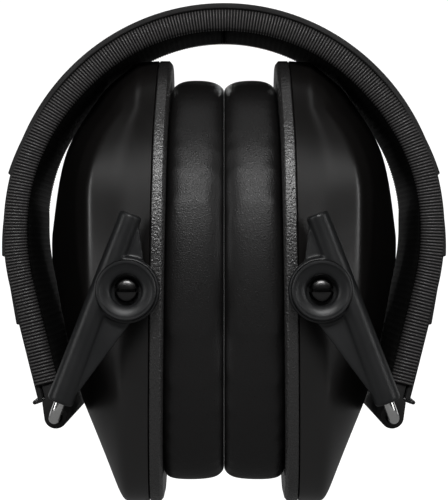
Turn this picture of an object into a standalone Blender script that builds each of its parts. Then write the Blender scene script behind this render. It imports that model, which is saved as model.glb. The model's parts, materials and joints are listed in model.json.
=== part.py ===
"""Folding earmuff hearing protector, modelled in its folded, packed state.

Metres, +Z up, +X across the wearer's head, -Y towards the viewer.  The origin is the middle of
the footprint: the muff stands on the flat lower ends of its two ear cups.

The left side (-X) is drawn and the right side is its mirror image.  Every hinge axis runs
along Y.  On each side the chain is: crown, sprung arm, wire yoke, slider, cup.
"""
import math

import bmesh
import bpy
from mathutils import Matrix, Vector

MM = 0.001
GAP = 0.3 * MM                      # running clearance between touching pieces

# ---------------------------------------------------------------- headband
BAND_CENTRE_Z = 71.0 * MM
BAND_HALF_WIDTH = 54.8 * MM         # outer surface, across the head
BAND_RISE = 57.1 * MM               # outer surface, centre to crown
BAND_TURN = math.radians(105)       # angle from the crown to where the arm runs straight
ARM_STRAIGHT = 28.7 * MM            # straight lower stretch of each arm
BAND_EDGE_CROWN = 18.0 * MM         # half of the band's width at the crown
BAND_EDGE_END = 35.5 * MM           # half of the band's width at the arm ends
COVER_THICKNESS = 1.5 * MM
SPRING_THICKNESS = 0.8 * MM
SPRING_HALF_WIDTH = 9.0 * MM
BAND_THICKNESS = 6.8 * MM           # cover, spring and pad together
PAD_END_CUT = 6.5 * MM              # the pad stops this far above the cover's end
BINDING_THICKNESS = 1.3 * MM
BINDING_DEPTH = 4.7 * MM
FLEX_X = 20.0 * MM                  # where the sprung band is taken to bend
RIB_HEIGHT = 0.6 * MM               # raised scales on the outside of each arm
RIB_LENGTH = 9.0 * MM
RIB_LEVELS = (93.0 * MM, 73.0 * MM, 56.0 * MM)

# ---------------------------------------------------------------- folding hinge and yoke
HINGE_X = 41.3 * MM
HINGE_Z = 24.2 * MM
BARREL_RADIUS = 2.9 * MM
WIRE_RADIUS = 1.35 * MM
WIRE_BEND = 3.3 * MM
LEG_Y = 42.3 * MM                   # axis of each yoke leg and its slider tube
LEG_ANGLE = math.radians(20.8)      # lean of the legs from vertical, folded
LEG_LENGTH = 48.0 * MM
CLIP_RADIUS = 0.55 * MM

# ---------------------------------------------------------------- sliders and pivots
PIVOT_X = 23.5 * MM
PIVOT_Z = 55.5 * MM
TUBE_START = 4.4 * MM               # distance from the folding hinge, along the leg
TUBE_LENGTH = 48.8 * MM
TUBE_RADII = (3.3 * MM, 2.85 * MM)  # lower end, upper end
TUBE_BORE = 1.7 * MM
EYE_RADIUS = 8.0 * MM
EYE_Y = (39.6 * MM, 44.7 * MM)
WEB_Y = (40.7 * MM, 43.4 * MM)
CAP_RADIUS = 7.3 * MM
CAP_HOLE = 3.75 * MM
CAP_Y = (45.0 * MM, 46.8 * MM)
SCREW_HEAD = 3.0 * MM
SCREW_SHANK = 2.0 * MM
SCREW_Y = (34.0 * MM, 42.4 * MM, 44.5 * MM)   # tip, underside of head, top of head
SCREW_SLOT = 0.6 * MM
COUNTERBORE_Y = 42.1 * MM
BOSS_RADIUS = 6.5 * MM
BOSS_Y = 38.0 * MM
WASHER_RADIUS = 7.0 * MM
WASHER_Y = (38.3 * MM, 38.9 * MM)

# ---------------------------------------------------------------- ear cups
RIM_FACE_X = 14.2 * MM              # inner face of the cup's rim plate
RIM_BACK_X = 16.6 * MM
SHELL_FACE_X = 16.9 * MM
RIM_CHAMFER = 1.3 * MM
CUP_HALF_WIDTH = 38.2 * MM
CUP_HEIGHT = 114.8 * MM
CUP_WIDEST_Z = 62.0 * MM
FOOT_HALF_WIDTH = 16.0 * MM         # flat lower end that the muff stands on
WALL = 2.2 * MM
SPEAKER_HOLE = (27.0 * MM, 41.0 * MM)
EAR_CENTRE_Z = 57.5 * MM
EAR_OPENING = (19.0 * MM, 32.0 * MM)
CUSHION_HALF_WIDTH = 35.5 * MM
CUSHION_Z = (5.5 * MM, 109.6 * MM)
CUSHION_X = (1.0 * MM, 12.6 * MM)
CUSHION_ROUND = 5.0 * MM
PLATE_X = (12.9 * MM, 13.9 * MM, 16.3 * MM)
COLLAR = (26.5 * MM, 40.5 * MM)
COLLAR_HOLE = (23.0 * MM, 36.0 * MM)

# Profile of the shell: distance from the mid-plane, half width, lowest and highest point.
SHELL_STATIONS = (
    (16.9, 38.2, 0.0, 114.8),
    (20.0, 37.2, 0.0, 114.8),
    (24.2, 35.9, 0.0, 112.9),
    (25.5, 35.4, 1.6, 112.2),
    (29.4, 33.9, 10.1, 109.6),
    (33.0, 31.8, 17.9, 105.8),
    (36.3, 23.4, 25.1, 100.6),
    (38.9, 16.7, 34.0, 94.5),
    (40.9, 11.6, 42.9, 85.4),
    (42.6, 7.3, 54.6, 75.4),
    (43.5, 4.5, 61.5, 70.5),
)

RING_STEPS = 16                     # steps in half a ring of a cup piece
SIDES = {"left": -1, "right": 1}
ENDS = {"front": -1, "rear": 1}

# Name: base colour, roughness, metallic.
FINISHES = {
    "soft_touch_plastic": ((0.012, 0.011, 0.010), 0.62, 0.0),
    "grained_plastic": ((0.020, 0.020, 0.020), 0.38, 0.0),
    "satin_plastic": ((0.016, 0.017, 0.018), 0.45, 0.0),
    "leatherette": ((0.010, 0.010, 0.010), 0.42, 0.0),
    "mesh_fabric": ((0.006, 0.006, 0.006), 0.90, 0.0),
    "ribbon": ((0.030, 0.030, 0.030), 0.70, 0.0),
    "foam": ((0.030, 0.030, 0.032), 0.95, 0.0),
    "bright_wire": ((0.620, 0.620, 0.620), 0.25, 1.0),
    "spring_steel": ((0.350, 0.350, 0.360), 0.35, 1.0),
    "black_steel": ((0.020, 0.020, 0.020), 0.35, 1.0),
}


# ---------------------------------------------------------------- helpers
def clear_scene():
    for obj in list(bpy.data.objects):
        bpy.data.objects.remove(obj, do_unlink=True)


def make_finish(name):
    colour, roughness, metallic = FINISHES[name]
    material = bpy.data.materials.new(name)
    material.use_nodes = True
    shader = material.node_tree.nodes["Principled BSDF"]
    shader.inputs["Base Color"].default_value = (*colour, 1)
    shader.inputs["Roughness"].default_value = roughness
    shader.inputs["Metallic"].default_value = metallic
    material.diffuse_color = (*colour, 1)
    return material


def finish(name):
    return bpy.data.materials.get(name) or make_finish(name)


def add_object(name, mesh, finish_name, parent):
    """Link a mesh that is written in world coordinates under its joint's empty."""
    mesh.name = name
    mesh.materials.clear()
    mesh.materials.append(finish(finish_name))
    obj = bpy.data.objects.new(name, mesh)
    bpy.context.scene.collection.objects.link(obj)
    if parent:
        obj.parent = parent
        obj.data.transform(Matrix.Translation(-Vector(parent["place"])))
    return obj


def joint_empty(name, place, parent=None):
    """An empty on a joint's axis; the pieces of the moving body hang from it."""
    empty = bpy.data.objects.new(name, None)
    empty.empty_display_size = 10 * MM
    bpy.context.scene.collection.objects.link(empty)
    empty.parent = parent
    empty.location = place - Vector(parent["place"]) if parent else place
    empty["place"] = place
    return empty


def smooth(mesh, angle=35):
    mesh.shade_smooth()
    mesh.set_sharp_from_angle(angle=math.radians(angle))


def mesh_from(rings, closed_loop=False):
    """Skin a row of equal rings; close it on itself, or cap both ends."""
    bm = bmesh.new()
    rows = [[bm.verts.new(p) for p in ring] for ring in rings]
    pairs = list(zip(rows, rows[1:]))
    if closed_loop:
        pairs.append((rows[-1], rows[0]))
    else:
        bm.faces.new(rows[0])
        bm.faces.new(rows[-1])
    count = len(rows[0])
    for a, b in pairs:
        for i in range(count):
            j = (i + 1) % count
            bm.faces.new((a[i], a[j], b[j], b[i]))
    bmesh.ops.recalc_face_normals(bm, faces=bm.faces)
    mesh = bpy.data.meshes.new("skin")
    bm.to_mesh(mesh)
    bm.free()
    smooth(mesh)
    return mesh


def prism(outline, y0, y1):
    """Extrude an outline of (x, z) points along Y."""
    return mesh_from([[(x, y, z) for x, z in outline] for y in (y0, y1)])


def turned(profile, centre, steps=20):
    """Turn a closed (radius, y) profile about the Y axis through centre (x, z)."""
    rings = []
    for i in range(steps):
        a = 2 * math.pi * i / steps
        rings.append([(centre[0] + r * math.cos(a), y, centre[1] + r * math.sin(a))
                      for r, y in profile])
    return mesh_from(rings, closed_loop=True)


def turned_solid(profile, centre, steps=16):
    """Turn an open (radius, y) profile into a solid with flat ends."""
    rings = []
    for r, y in profile:
        rings.append([(centre[0] + r * math.cos(2 * math.pi * i / steps), y,
                       centre[1] + r * math.sin(2 * math.pi * i / steps)) for i in range(steps)])
    return mesh_from(rings)


def mirrored(mesh, flip_x, flip_y):
    """A copy of a mesh, reflected to its place, with its faces still pointing out."""
    copy = mesh.copy()
    copy.transform(Matrix.Diagonal((flip_x, flip_y, 1, 1)))
    if flip_x * flip_y < 0:
        copy.flip_normals()
    return copy


def boolean(mesh, tool, operation):
    """The result of one Boolean between two meshes, as a new mesh."""
    scene = bpy.context.scene
    first = bpy.data.objects.new("body", mesh)
    second = bpy.data.objects.new("tool", tool)
    for obj in (first, second):
        scene.collection.objects.link(obj)
    modifier = first.modifiers.new("cut", "BOOLEAN")
    modifier.operation = operation
    modifier.solver = "EXACT"
    modifier.object = second
    graph = bpy.context.evaluated_depsgraph_get()
    result = bpy.data.meshes.new_from_object(first.evaluated_get(graph))
    for obj in (first, second):
        bpy.data.objects.remove(obj, do_unlink=True)
    weld(result)
    smooth(result)
    return result


def weld(mesh):
    bm = bmesh.new()
    bm.from_mesh(mesh)
    bmesh.ops.remove_doubles(bm, verts=bm.verts, dist=0.00001)
    bmesh.ops.dissolve_degenerate(bm, edges=bm.edges, dist=0.00001)
    bm.to_mesh(mesh)
    bm.free()


def cylinder(radius, centre, y0, y1, steps=20):
    return turned_solid([(radius, y0), (radius, y1)], centre, steps)


# ---------------------------------------------------------------- band path
def band_station(s):
    """Point, outward normal and half width of the band's outer skin on the left side,
    s metres along the skin from the crown."""
    total = ARC_LENGTH + ARM_STRAIGHT
    share = min(max(abs(s) / total, 0), 1)
    ease = share * share * (3 - 2 * share)
    edge = BAND_EDGE_CROWN + (BAND_EDGE_END - BAND_EDGE_CROWN) * ease
    angle = math.pi / 2 + angle_at(min(abs(s), ARC_LENGTH))
    x = BAND_HALF_WIDTH * math.cos(angle)
    z = BAND_CENTRE_Z + BAND_RISE * math.sin(angle)
    along = Vector((-BAND_HALF_WIDTH * math.sin(angle), 0, BAND_RISE * math.cos(angle)))
    along.normalize()
    extra = max(abs(s) - ARC_LENGTH, 0)
    place = Vector((x, 0, z)) + along * extra
    out = Vector((along.z, 0, -along.x))
    if s < 0:
        place.x, out.x = -place.x, -out.x
    return place, out, edge


def arc_table(steps=420):
    """Running arc length of the elliptical stretch, for equal angle steps."""
    lengths = [0.0]
    last = None
    for i in range(steps + 1):
        a = math.pi / 2 + BAND_TURN * i / steps
        point = (BAND_HALF_WIDTH * math.cos(a), BAND_RISE * math.sin(a))
        if last:
            lengths.append(lengths[-1] + math.dist(point, last))
        last = point
    return lengths


ARC_STEPS = arc_table()
ARC_LENGTH = ARC_STEPS[-1]


def angle_at(s):
    """Angle past the crown at which the skin is s metres long."""
    for i in range(1, len(ARC_STEPS)):
        if ARC_STEPS[i] >= s:
            share = (s - ARC_STEPS[i - 1]) / (ARC_STEPS[i] - ARC_STEPS[i - 1])
            return BAND_TURN * (i - 1 + share) / (len(ARC_STEPS) - 1)
    return BAND_TURN


def length_where(test):
    """The first distance along the left skin, to 0.1 mm, at which test(place) is true."""
    s = 0.0
    while not test(band_station(s)[0]):
        s += 0.1 * MM
    return s


def spaced(start, end, step):
    count = max(2, round((end - start) / step))
    return [start + (end - start) * i / count for i in range(count + 1)]


def strip(start, end, outer, inner, inset, raised=None, step=5 * MM):
    """A strip of the band between two depths, inset from its edges."""
    stops = sorted(set(spaced(start, end, step)) | {q for q in (raised or {}) if start < q < end})
    rings = []
    for s in stops:
        place, out, edge = band_station(s)
        half = edge - inset
        lift = (raised or {}).get(s, 0)
        top, base = place - out * (outer - lift), place - out * inner
        rings.append([(top.x, -half, top.z), (top.x, half, top.z),
                      (base.x, half, base.z), (base.x, -half, base.z)])
    return mesh_from(rings)


def edge_strip(start, end, side):
    """The woven binding that closes one long edge of the band."""
    outer = COVER_THICKNESS + GAP
    rings = []
    for s in spaced(start, end, 5 * MM):
        place, out, edge = band_station(s)
        top, base = place - out * outer, place - out * (outer + BINDING_DEPTH)
        y0, y1 = side * (edge - BINDING_THICKNESS), side * edge
        rings.append([(top.x, y0, top.z), (top.x, y1, top.z), (base.x, y1, base.z), (base.x, y0, base.z)])
    return mesh_from(rings)


# ---------------------------------------------------------------- headband pieces
def scale_heights():
    """Stops and lifts of the raised scales: each rises slowly and ends in a step."""
    lifts = {}
    for level in RIB_LEVELS:
        start = length_where(lambda p, z=level: p.z < z)
        lifts[start] = 0.0
        lifts[start + RIB_LENGTH] = RIB_HEIGHT
        lifts[start + RIB_LENGTH + 0.4 * MM] = 0.0
    return lifts


def build_crown():
    end = FLEX_LENGTH - GAP / 2
    add_object("crown_cover", strip(-end, end, 0, COVER_THICKNESS, 0), "satin_plastic", None)
    pad_top = COVER_THICKNESS + SPRING_THICKNESS + 2 * GAP
    inset = BINDING_THICKNESS + GAP
    add_object("crown_pad", strip(-end, end, pad_top, BAND_THICKNESS, inset), "mesh_fabric", None)


def build_spring_and_bindings():
    """The pieces that run unbroken through both sprung stretches."""
    end = ARC_LENGTH + ARM_STRAIGHT - PAD_END_CUT
    top = COVER_THICKNESS + GAP
    rings = []
    for s in spaced(-end, end, 6 * MM):
        place, out, _ = band_station(s)
        a, b = place - out * top, place - out * (top + SPRING_THICKNESS)
        rings.append([(a.x, -SPRING_HALF_WIDTH, a.z), (a.x, SPRING_HALF_WIDTH, a.z),
                      (b.x, SPRING_HALF_WIDTH, b.z), (b.x, -SPRING_HALF_WIDTH, b.z)])
    add_object("spring_band", mesh_from(rings), "spring_steel", None)
    for end_name, sign in ENDS.items():
        mesh = edge_strip(-end, end, sign)
        add_object(f"{end_name}_edge_binding", mesh, "ribbon", None)


def build_arm(side, flex):
    """Cover, pad, hinge block and clip of one arm, drawn on the left and reflected."""
    flip = -SIDES[side]
    start = FLEX_LENGTH + GAP / 2
    end = ARC_LENGTH + ARM_STRAIGHT
    cover = strip(start, end, 0, COVER_THICKNESS, 0, scale_heights())
    pad_top = COVER_THICKNESS + SPRING_THICKNESS + 2 * GAP
    pad = strip(start, end - PAD_END_CUT, pad_top, BAND_THICKNESS, BINDING_THICKNESS + GAP)
    pieces = {
        f"{side}_arm_cover": (cover, "satin_plastic"),
        f"{side}_arm_pad": (pad, "mesh_fabric"),
        f"{side}_hinge_block": (hinge_block_mesh(), "satin_plastic"),
        f"{side}_wire_clip": (wire_clip_mesh(), "black_steel"),
    }
    for name, (mesh, finish_name) in pieces.items():
        add_object(name, mirrored(mesh, flip, 1), finish_name, flex)


def arm_frame():
    """End point of the left arm's skin, the direction down the arm, and inwards."""
    place, out, _ = band_station(ARC_LENGTH + ARM_STRAIGHT)
    down = Vector((-out.z, 0, out.x))
    if down.z > 0:
        down = -down
    return place, down, -out


def hinge_block_mesh():
    """Moulded arm end: a tongue under the cover that ends in the hinge barrel."""
    place, down, inward = arm_frame()
    barrel = Vector((-HINGE_X, 0, HINGE_Z))
    centre_down, centre_in = (barrel - place).dot(down), (barrel - place).dot(inward)
    tongue_top, tongue_base = COVER_THICKNESS + GAP, 5.2 * MM
    outline = [(-PAD_END_CUT + GAP, tongue_top), (GAP, tongue_top), (0.8 * MM, 0.9 * MM)]
    for degrees in range(-90, 136, 15):
        a = math.radians(degrees)
        outline.append((centre_down + BARREL_RADIUS * math.cos(a),
                        centre_in + BARREL_RADIUS * math.sin(a)))
    outline.append((-PAD_END_CUT + GAP, tongue_base))
    points = [place + down * d + inward * r for d, r in outline]
    half = BAND_EDGE_END - 0.6 * MM
    body = prism([(p.x, p.z) for p in points], -half, half)
    bore = cylinder(WIRE_RADIUS + GAP, (-HINGE_X, HINGE_Z), -half - MM, half + MM, 16)
    return boolean(body, bore, "DIFFERENCE")


def tube_along(points, radius, sides=8):
    """A round bar along a row of points, with flat ends."""
    curve = bpy.data.curves.new("bar", "CURVE")
    curve.dimensions = "3D"
    curve.bevel_depth = radius
    curve.bevel_resolution = sides // 4
    curve.use_fill_caps = True
    curve.twist_mode = "MINIMUM"
    spline = curve.splines.new("POLY")
    spline.points.add(len(points) - 1)
    for knot, p in zip(spline.points, points):
        knot.co = (*p, 1)
    obj = bpy.data.objects.new("bar", curve)
    bpy.context.scene.collection.objects.link(obj)
    graph = bpy.context.evaluated_depsgraph_get()
    mesh = bpy.data.meshes.new_from_object(obj.evaluated_get(graph))
    bpy.data.objects.remove(obj, do_unlink=True)
    weld(mesh)
    bm = bmesh.new()
    bm.from_mesh(mesh)
    bmesh.ops.recalc_face_normals(bm, faces=bm.faces)
    bm.to_mesh(mesh)
    bm.free()
    smooth(mesh)
    return mesh


def wire_clip_mesh():
    """The small wire loop that stands out of the arm's end."""
    place, down, inward = arm_frame()
    foot = place + down * 1.6 * MM - inward * 0.2 * MM
    out = (-inward + down * 0.12).normalized()
    half, reach, corner = 5.5 * MM, 4.3 * MM, 1.6 * MM
    points = [(foot + Vector((0, -half, 0)))]
    points.append(foot + out * (reach - corner) + Vector((0, -half, 0)))
    for degrees in range(-60, 61, 30):
        a = math.radians(degrees)
        turn = math.copysign(half - corner, a) if a else 0
        points.append(foot + out * (reach - corner + corner * math.cos(a))
                      + Vector((0, turn + corner * math.sin(a), 0)))
    points.append(foot + out * (reach - corner) + Vector((0, half, 0)))
    points.append(foot + Vector((0, half, 0)))
    return tube_along([tuple(p) for p in points], CLIP_RADIUS)


# ---------------------------------------------------------------- yoke and sliders
def leg_axis():
    """Direction up the left yoke leg, and the direction across it towards the pivot."""
    up = Vector((math.sin(LEG_ANGLE), 0, math.cos(LEG_ANGLE)))
    across = Vector((math.cos(LEG_ANGLE), 0, -math.sin(LEG_ANGLE)))
    return up, across


def yoke_points():
    """Centre line of the U-shaped wire: leg, bridge through the barrel, leg."""
    up, _ = leg_axis()
    base = Vector((-HINGE_X, 0, HINGE_Z))
    points = []
    for degrees in (90, 60, 30, 0):
        a = math.radians(degrees)
        y = LEG_Y - WIRE_BEND + WIRE_BEND * math.sin(a)
        points.append(base + Vector((0, y, 0)) + up * WIRE_BEND * (1 - math.cos(a)))
    front = [Vector((p.x, -p.y, p.z)) for p in points]
    tip_front = base + Vector((0, -LEG_Y, 0)) + up * LEG_LENGTH
    tip_rear = base + Vector((0, LEG_Y, 0)) + up * LEG_LENGTH
    return [tip_front, *front, *reversed(points), tip_rear]


def build_yoke(side, hinge):
    mesh = tube_along([tuple(p) for p in yoke_points()], WIRE_RADIUS, 12)
    add_object(f"{side}_yoke_wire", mirrored(mesh, -SIDES[side], 1), "bright_wire", hinge)


def local_outline(points):
    """World (x, z) of points given as (distance up the leg, distance across it)."""
    up, across = leg_axis()
    base = Vector((-HINGE_X, 0, HINGE_Z))
    world = [base + up * d + across * q for d, q in points]
    return [(p.x, p.z) for p in world]


def slider_mesh():
    """Tapered tube, pivot eye and the web between them, in one moulding (rear left)."""
    up, across = leg_axis()
    base = Vector((-HINGE_X, LEG_Y, HINGE_Z))
    rings = []
    for share in (0, 0.04, 0.5, 0.96, 1):
        radius = TUBE_RADII[0] + (TUBE_RADII[1] - TUBE_RADII[0]) * share
        radius -= 0.35 * MM if share in (0, 1) else 0
        middle = base + up * (TUBE_START + TUBE_LENGTH * share)
        rings.append([middle + (across * math.cos(a) + Vector((0, 1, 0)) * math.sin(a)) * radius
                      for a in [2 * math.pi * i / 16 for i in range(16)]])
    tube = mesh_from(rings)
    offset = Vector((HINGE_X - PIVOT_X, 0, PIVOT_Z - HINGE_Z))
    eye_d, eye_q = offset.dot(up), offset.dot(across)
    lower = [(7.5, 0.4), (7.5, 3.1), (28.6, 9.2), (eye_d / MM, eye_q / MM), (28.6, 0.4)]
    upper = [(eye_d / MM, 0.4), (eye_d / MM, eye_q / MM), (42.6, 7.3), (52.2, 2.2), (52.2, 0.4)]
    solid = boolean(tube, cylinder(EYE_RADIUS, (-PIVOT_X, PIVOT_Z), *EYE_Y, 32), "UNION")
    for shape in (lower, upper):
        web = prism(local_outline([(d * MM, q * MM) for d, q in shape]), *WEB_Y)
        solid = boolean(solid, web, "UNION")
    pivot = (-PIVOT_X, PIVOT_Z)
    cuts = [
        cylinder(CAP_RADIUS + GAP, pivot, EYE_Y[1] - 0.01 * MM, CAP_Y[1] + MM, 32),
        cylinder(CAP_HOLE + 0.15 * MM, pivot, COUNTERBORE_Y, EYE_Y[1] + MM, 24),
        cylinder(SCREW_SHANK + GAP, pivot, EYE_Y[0] - MM, COUNTERBORE_Y + MM, 16),
    ]
    for cut in cuts:
        solid = boolean(solid, cut, "DIFFERENCE")
    bore = []
    for d in (TUBE_START - MM, TUBE_START + TUBE_LENGTH + MM):
        middle = base + up * d
        bore.append([middle + (across * math.cos(a) + Vector((0, 1, 0)) * math.sin(a)) * TUBE_BORE
                     for a in [2 * math.pi * i / 12 for i in range(12)]])
    return boolean(solid, mesh_from(bore), "DIFFERENCE")


def build_sliders(side, slide, mesh):
    for end, sign in ENDS.items():
        name = f"{end}_{side}_slider"
        add_object(name, mirrored(mesh, -SIDES[side], sign), "satin_plastic", slide)


# ---------------------------------------------------------------- cups
def shield_ring(x, half, low, high, foot=None):
    """Outline of a cup piece in the plane at x: an arch above a taper to a flat foot."""
    foot = FOOT_HALF_WIDTH * half / CUP_HALF_WIDTH if foot is None else foot
    waist = low + (high - low) * CUP_WIDEST_Z / CUP_HEIGHT
    points = []
    for i in range(RING_STEPS + 1):
        a = math.pi * i / RING_STEPS
        c, s = math.cos(a), math.sin(a)
        bulge = (abs(c) ** 2.25 + abs(s) ** 2.25) ** (-1 / 2.25)
        points.append((x, half * c * bulge, waist + (high - waist) * s * bulge))
    quarter = RING_STEPS // 2
    for sign, order in ((-1, range(1, quarter + 1)), (1, range(quarter, 0, -1))):
        for i in order:
            a = math.pi / 2 * i / quarter
            points.append((x, sign * (foot + (half - foot) * math.cos(a)),
                           waist - (waist - low) * math.sin(a)))
    return points


def oval_ring(x, radii):
    """An oval with as many points as a shield_ring, in the same order."""
    points = []
    lower = RING_STEPS + 1
    angles = [math.pi * i / RING_STEPS for i in range(RING_STEPS + 1)]
    angles += [math.pi + math.pi * i / lower for i in range(1, lower)]
    for a in angles:
        points.append((x, radii[0] * math.cos(a), EAR_CENTRE_Z + radii[1] * math.sin(a)))
    return points


def shell_mesh():
    """Hollow outer shell with a boss at each pivot."""
    outer = [shield_ring(-x * MM, half * MM, low * MM, high * MM)
             for x, half, low, high in SHELL_STATIONS]
    inner = []
    for x, half, low, high in SHELL_STATIONS[:8:2]:
        shift = 0 if x == SHELL_STATIONS[0][0] else WALL
        inner.append(shield_ring(-x * MM + shift, half * MM - WALL - shift / 2,
                                 low * MM + WALL + shift, high * MM - WALL - shift / 2))
    solid = mesh_from([*reversed(inner), *outer])
    pivot = (-PIVOT_X, PIVOT_Z)
    for sign in (-1, 1):
        y_in, y_out = sign * (CUP_HALF_WIDTH - 4.2 * MM), sign * BOSS_Y
        solid = boolean(solid, cylinder(BOSS_RADIUS, pivot, y_in, y_out, 24), "UNION")
        hole = cylinder(SCREW_SHANK + GAP, pivot, sign * 31 * MM, sign * 40 * MM, 16)
        solid = boolean(solid, hole, "DIFFERENCE")
    return solid


def rim_mesh():
    """Rim plate of the cup: its grained edge is seen between the shell and the cushion."""
    chamfered = shield_ring(-RIM_FACE_X, CUP_HALF_WIDTH - RIM_CHAMFER, RIM_CHAMFER,
                            CUP_HEIGHT - RIM_CHAMFER, FOOT_HALF_WIDTH)
    shoulder = -RIM_FACE_X - RIM_CHAMFER
    rings = [
        chamfered,
        shield_ring(shoulder, CUP_HALF_WIDTH, 0, CUP_HEIGHT),
        shield_ring(-RIM_BACK_X, CUP_HALF_WIDTH, 0, CUP_HEIGHT),
        oval_ring(-RIM_BACK_X, SPEAKER_HOLE),
        oval_ring(-RIM_FACE_X, SPEAKER_HOLE),
    ]
    return mesh_from(rings, closed_loop=True)


def cushion_ring(x, inset):
    return shield_ring(x, CUSHION_HALF_WIDTH - inset, CUSHION_Z[0] + inset, CUSHION_Z[1] - inset,
                       FOOT_HALF_WIDTH)


def cushion_mesh():
    """Soft seal: a thick ring with rounded edges towards the ear."""
    near, far = CUSHION_X
    r = CUSHION_ROUND
    rings = [cushion_ring(-far, 1.0 * MM), cushion_ring(-far + 1.5 * MM, 0)]
    for degrees in (10, 50, 90):
        a = math.radians(degrees)
        rings.append(cushion_ring(-near - r + r * math.sin(a), r * (1 - math.cos(a))))
    wide = (EAR_OPENING[0] + 3 * MM, EAR_OPENING[1] + 3 * MM)
    rings.append(oval_ring(-near, wide))
    rings.append(oval_ring(-near - 3 * MM, EAR_OPENING))
    rings.append(oval_ring(-far, EAR_OPENING))
    return mesh_from(rings, closed_loop=True)


def plate_mesh():
    """Snap plate behind the cushion, with a collar that plugs into the rim."""
    near, back, deep = PLATE_X
    rings = [
        cushion_ring(-near, 2.5 * MM),
        cushion_ring(-back, 2.5 * MM),
        oval_ring(-back, COLLAR),
        oval_ring(-deep, COLLAR),
        oval_ring(-deep, COLLAR_HOLE),
        oval_ring(-near, COLLAR_HOLE),
    ]
    return mesh_from(rings, closed_loop=True)


def liner_mesh():
    """Block of open-cell foam that fills the shell."""
    rings = [oval_ring(-17.2 * MM, (24.5 * MM, 38.5 * MM)),
             oval_ring(-26.0 * MM, (23.0 * MM, 36.0 * MM)),
             oval_ring(-33.0 * MM, (15.0 * MM, 26.0 * MM))]
    return mesh_from(rings)


def screen_mesh():
    """Thin acoustic cloth that covers the foam inside the collar."""
    radii = (COLLAR_HOLE[0] - 0.4 * MM, COLLAR_HOLE[1] - 0.4 * MM)
    return mesh_from([oval_ring(-15.7 * MM, radii), oval_ring(-14.7 * MM, radii)])


def cap_mesh():
    """Dished cap ring that dresses the pivot (rear left)."""
    base, top = CAP_Y
    profile = [(CAP_HOLE, base), (CAP_RADIUS, base), (CAP_RADIUS, top - 0.5 * MM),
               (CAP_RADIUS - 0.4 * MM, top), (CAP_RADIUS - 0.95 * MM, top),
               (CAP_RADIUS - 1.3 * MM, top - 0.4 * MM), (CAP_HOLE + 0.2 * MM, base + 0.7 * MM)]
    return turned(profile, (-PIVOT_X, PIVOT_Z), 24)


def screw_mesh():
    """Slotted pivot screw (rear left)."""
    tip, under, top = SCREW_Y
    profile = [(SCREW_SHANK - 0.4 * MM, tip), (SCREW_SHANK, tip + 0.5 * MM), (SCREW_SHANK, under),
               (SCREW_HEAD, under), (SCREW_HEAD, top - 0.9 * MM),
               (SCREW_HEAD - 0.5 * MM, top - 0.3 * MM), (SCREW_HEAD * 0.5, top)]
    solid = turned_solid(profile, (-PIVOT_X, PIVOT_Z), 16)
    half, slot = SCREW_HEAD + MM, SCREW_SLOT / 2
    outline = [(-PIVOT_X - half, PIVOT_Z - slot), (-PIVOT_X + half, PIVOT_Z - slot),
               (-PIVOT_X + half, PIVOT_Z + slot), (-PIVOT_X - half, PIVOT_Z + slot)]
    return boolean(solid, prism(outline, top - 0.8 * MM, top + MM), "DIFFERENCE")


def washer_mesh():
    inner, outer = SCREW_SHANK + GAP, WASHER_RADIUS
    profile = [(inner, WASHER_Y[0]), (outer, WASHER_Y[0]), (outer, WASHER_Y[1]),
               (inner, WASHER_Y[1])]
    return turned(profile, (-PIVOT_X, PIVOT_Z), 20)


def build_cup(side, pivot, meshes):
    flip = -SIDES[side]
    for name, (mesh, finish_name) in meshes.items():
        add_object(f"{side}_{name}", mirrored(mesh, flip, 1), finish_name, pivot)


def build_pivots(side, pivot, meshes):
    flip = -SIDES[side]
    for end, sign in ENDS.items():
        for name, (mesh, finish_name) in meshes.items():
            add_object(f"{end}_{side}_{name}", mirrored(mesh, flip, sign), finish_name, pivot)


# ---------------------------------------------------------------- assembly
def build_all():
    clear_scene()
    build_crown()
    build_spring_and_bindings()
    slider = slider_mesh()
    cup_meshes = {
        "cup_shell": (shell_mesh(), "soft_touch_plastic"),
        "cup_rim": (rim_mesh(), "grained_plastic"),
        "cushion_plate": (plate_mesh(), "satin_plastic"),
        "ear_cushion": (cushion_mesh(), "leatherette"),
        "foam_liner": (liner_mesh(), "foam"),
        "ear_screen": (screen_mesh(), "mesh_fabric"),
    }
    pivot_meshes = {
        "pivot_cap": (cap_mesh(), "satin_plastic"),
        "pivot_screw": (screw_mesh(), "black_steel"),
        "pivot_washer": (washer_mesh(), "satin_plastic"),
    }
    for side, sign in SIDES.items():
        flex_place = Vector((sign * FLEX_X, 0, FLEX_Z))
        hinge_place = Vector((sign * HINGE_X, 0, HINGE_Z))
        pivot_place = Vector((sign * PIVOT_X, 0, PIVOT_Z))
        flex = joint_empty(f"{side}_flex_axis", flex_place)
        hinge = joint_empty(f"{side}_fold_axis", hinge_place, flex)
        slide = joint_empty(f"{side}_slide_axis", hinge_place, hinge)
        pivot = joint_empty(f"{side}_pivot_axis", pivot_place, slide)
        build_arm(side, flex)
        build_yoke(side, hinge)
        build_sliders(side, slide, slider)
        build_cup(side, pivot, cup_meshes)
        build_pivots(side, pivot, pivot_meshes)


FLEX_LENGTH = length_where(lambda p: p.x < -FLEX_X)
FLEX_Z = band_station(FLEX_LENGTH)[0].z

build_all()
print("flex axis at x", round(FLEX_X / MM, 2), "z", round(FLEX_Z / MM, 2), "mm")
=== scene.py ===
# %% [markdown]
# # A folding earmuff, dressed around its moving frame
#
# The frame is the solid model of the muff: every part at its true size, with its joints. This
# lesson builds the surfaces that the eye sees around that frame: moulded shells, a ribbed edge
# ribbon, soft cushions, wire yokes. The frame gives every place, so nothing here is guessed
# twice. Units are metres, +Z is up, and the viewer stands at -Y.

# %% Load the frame
import json
import math
from contextlib import contextmanager

import bmesh
import bpy
import numpy as np
from mathutils import Matrix, Vector


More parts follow.
